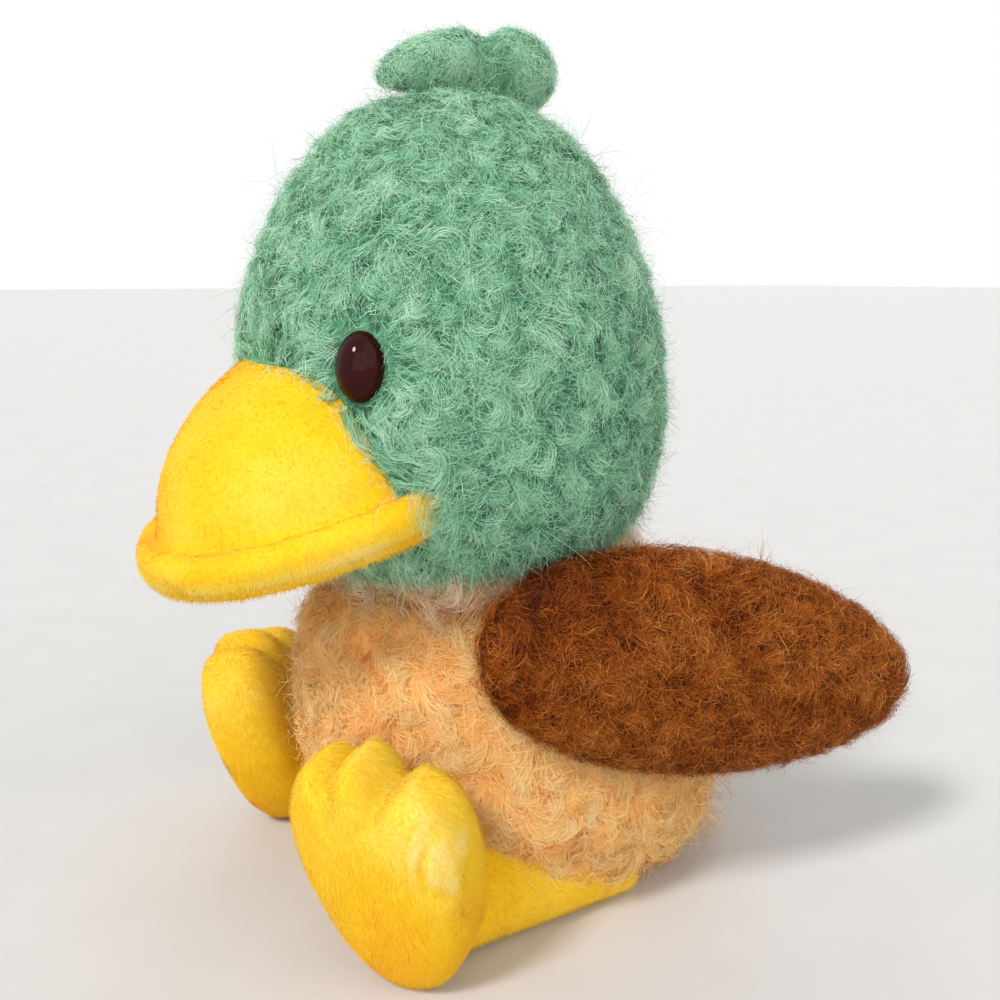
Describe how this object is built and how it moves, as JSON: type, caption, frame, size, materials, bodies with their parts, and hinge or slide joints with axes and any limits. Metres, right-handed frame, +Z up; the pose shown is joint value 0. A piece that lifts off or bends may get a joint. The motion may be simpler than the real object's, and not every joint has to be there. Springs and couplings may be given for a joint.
{
  "type": "plush_duck",
  "caption": "Seated plush duck, about 225 mm tall: curly green head with a rolled crest, yellow bill, peach body, brown wings and yellow webbed feet, all sewn and stuffed.",
  "frame": {"origin": "middle of the flat seat's underside, on the floor, under the front half of the pear-shaped body", "axes": "+X to the duck's left, -Y the way the duck faces, +Z up"},
  "size_m": [0.1474, 0.1852, 0.224],
  "materials": {
    "green_fur": "matte",
    "yellow_velour": "matte",
    "peach_fur": "matte",
    "brown_fur": "matte",
    "cream_fur": "matte",
    "stuffing": "matte",
    "calico": "matte",
    "eye_gloss": "gloss",
    "washer_plastic": "matte"
  },
  "bodies": {
    "body": {"body_cover": "peach_fur", "body_stuffing": "stuffing", "pellet_bag": "calico", "neck_ring": "cream_fur"},
    "head": {"head_cover": "green_fur", "head_stuffing": "stuffing", "bill_upper": "yellow_velour", "bill_lower": "yellow_velour", "bill_stuffing": "stuffing", "eye_left": "eye_gloss", "eye_right": "eye_gloss", "eye_washer_left": "washer_plastic", "eye_washer_right": "washer_plastic"},
    "crest": {"crest": "green_fur"},
    "wing_left": {"wing_left": "brown_fur"},
    "wing_right": {"wing_right": "brown_fur"},
    "leg_left": {"leg_left": "yellow_velour"},
    "leg_right": {"leg_right": "yellow_velour"},
    "foot_left": {"foot_left": "yellow_velour"},
    "foot_right": {"foot_right": "yellow_velour"}
  },
  "joints": [
    {"name": "head_turn", "type": "hinge", "parent": "body", "child": "head", "pos_m": [0, -0.0126, 0.09], "axis": [0, 0, 1], "range_deg": [-15, 15], "stiffness_Nm_per_rad": 0.04},
    {"name": "crest_lift", "type": "hinge", "parent": "head", "child": "crest", "pos_m": [0, 0.005, 0.21], "axis": [-1, 0, 0], "range_deg": [0, 25], "stiffness_Nm_per_rad": 0.01},
    {"name": "wing_left_open", "type": "hinge", "parent": "body", "child": "wing_left", "pos_m": [0.047, -0.032, 0.083], "axis": [0, 0, -1], "range_deg": [0, 50], "stiffness_Nm_per_rad": 0.02},
    {"name": "wing_right_open", "type": "hinge", "parent": "body", "child": "wing_right", "pos_m": [-0.047, -0.032, 0.083], "axis": [0, 0, 1], "range_deg": [0, 50], "stiffness_Nm_per_rad": 0.02},
    {"name": "leg_left_spread", "type": "hinge", "parent": "body", "child": "leg_left", "pos_m": [0.0365, 0.018, 0.0055], "axis": [0, 0, 1], "range_deg": [0, 20], "stiffness_Nm_per_rad": 0.05},
    {"name": "leg_right_spread", "type": "hinge", "parent": "body", "child": "leg_right", "pos_m": [-0.0365, 0.018, 0.0055], "axis": [0, 0, -1], "range_deg": [-8.5, 11.5], "stiffness_Nm_per_rad": 0.05},
    {"name": "foot_left_tip", "type": "hinge", "parent": "leg_left", "child": "foot_left", "pos_m": [0.0335, -0.031, 0.016], "axis": [0.8387, 0.5446, 0], "range_deg": [0, 25], "stiffness_Nm_per_rad": 0.05},
    {"name": "foot_right_tip", "type": "hinge", "parent": "leg_right", "child": "foot_right", "pos_m": [-0.04078, -0.0309, 0.016], "axis": [0.749, -0.6626, 0], "range_deg": [0, 25], "stiffness_Nm_per_rad": 0.05}
  ]
}
